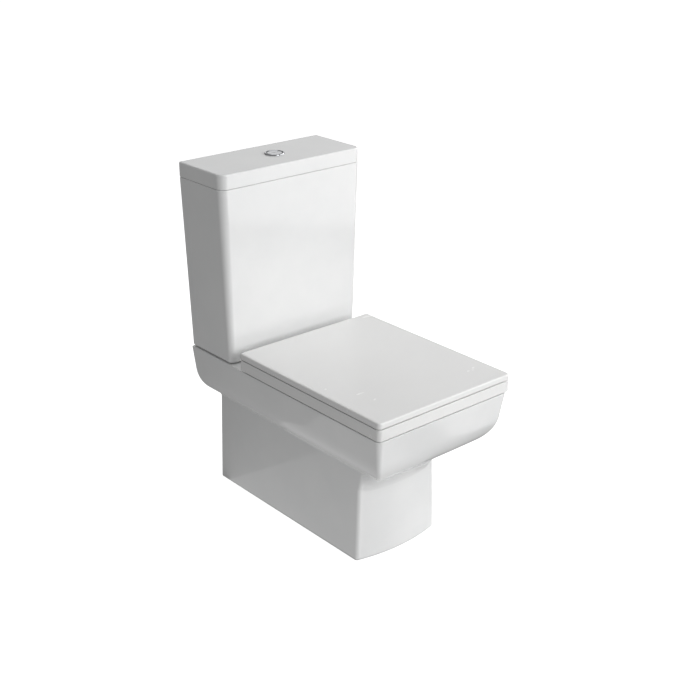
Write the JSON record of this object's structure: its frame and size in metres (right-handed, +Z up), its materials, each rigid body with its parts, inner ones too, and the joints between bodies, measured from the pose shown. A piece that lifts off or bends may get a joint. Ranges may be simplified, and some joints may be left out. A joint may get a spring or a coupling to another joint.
{
  "type": "close coupled toilet",
  "caption": "Close coupled toilet with tapered cistern, dual push button, square soft close seat and a boat shaped pan on a narrow pedestal.",
  "frame": {"origin": "floor level, on the centre line, half way from the wall to the seat front", "axes": "+Z up, +Y towards the wall behind, +X to the right hand of a person facing the toilet"},
  "size_m": [0.395, 0.666, 0.823],
  "materials": {
    "china": "gloss white glaze",
    "seat_white": "gloss white moulding",
    "chrome": "polished plate",
    "white_plastic": "moulded, satin",
    "blue_plastic": "moulded, satin",
    "float_grey": "moulded, satin",
    "buffer_grey": "soft, matt",
    "rubber": "matt black",
    "steel": "zinc plated"
  },
  "bodies": {
    "toilet": {"pan": "china", "bowl_shell": "china", "flush_channel": "china", "trapway": "china", "foot": "china", "cistern": "china", "flush_valve_body": "white_plastic", "flush_valve_cap": "blue_plastic", "flush_valve_washer": "rubber", "flush_valve_backnut": "white_plastic", "fill_valve_body": "white_plastic", "fill_valve_cap": "blue_plastic", "lever_pin": "steel", "fill_valve_washer": "rubber", "fill_valve_backnut": "white_plastic", "coupling_plate": "steel", "coupling_bolts": "steel", "coupling_washers": "rubber", "coupling_nuts": "white_plastic", "coupling_gasket": "rubber", "hinge_posts": "chrome", "hinge_pins": "steel", "hinge_pads": "rubber", "hinge_studs": "steel", "hinge_bushes": "rubber", "hinge_nuts": "white_plastic"},
    "cistern_cover": {"cistern_lid": "china", "button_bezel": "chrome", "bezel_nut": "white_plastic"},
    "full_button": {"full_flush_button": "chrome", "full_push_rod": "blue_plastic"},
    "half_button": {"half_flush_button": "chrome", "half_push_rod": "white_plastic"},
    "flush_lifter": {"flush_tube": "blue_plastic", "flush_seal": "rubber"},
    "float": {"fill_float": "float_grey", "float_link": "white_plastic"},
    "lever": {"fill_lever": "blue_plastic"},
    "seat": {"seat_ring": "seat_white", "seat_buffers": "buffer_grey"},
    "lid": {"seat_lid": "seat_white", "lid_buffers": "buffer_grey"}
  },
  "joints": [
    {"name": "seat_hinge", "type": "hinge", "parent": "toilet", "child": "seat", "pos_m": [0, 0.124, 0.391], "axis": [-1, 0, 0], "range_deg": [0, 92]},
    {"name": "lid_hinge", "type": "hinge", "parent": "seat", "child": "lid", "pos_m": [0, 0.124, 0.391], "axis": [1, 0, 0], "range_deg": [-92, 0]},
    {"name": "cistern_lid_lift", "type": "slide", "parent": "toilet", "child": "cistern_cover", "axis": [0, 0, 1], "range_m": [0, 0.12]},
    {"name": "full_flush_press", "type": "slide", "parent": "cistern_cover", "child": "full_button", "axis": [0, 0, -1], "range_m": [0, 0.006], "stiffness_N_per_m": 600},
    {"name": "half_flush_press", "type": "slide", "parent": "cistern_cover", "child": "half_button", "axis": [0, 0, -1], "range_m": [0, 0.006], "stiffness_N_per_m": 500},
    {"name": "flush_lift", "type": "slide", "parent": "toilet", "child": "flush_lifter", "axis": [0, 0, 1], "range_m": [0, 0.024]},
    {"name": "float_rise", "type": "slide", "parent": "toilet", "child": "float", "axis": [0, 0, 1], "range_m": [0, 0.02]},
    {"name": "lever_turn", "type": "hinge", "parent": "toilet", "child": "lever", "pos_m": [-0.133, 0.261, 0.678], "axis": [0, -1, 0], "range_deg": [0, 24]}
  ],
  "couplings": [
    {"joint": "flush_lift", "follows": "full_flush_press", "ratio": 4},
    {"joint": "lever_turn", "follows": "float_rise", "rad_per_m": 20.943}
  ]
}
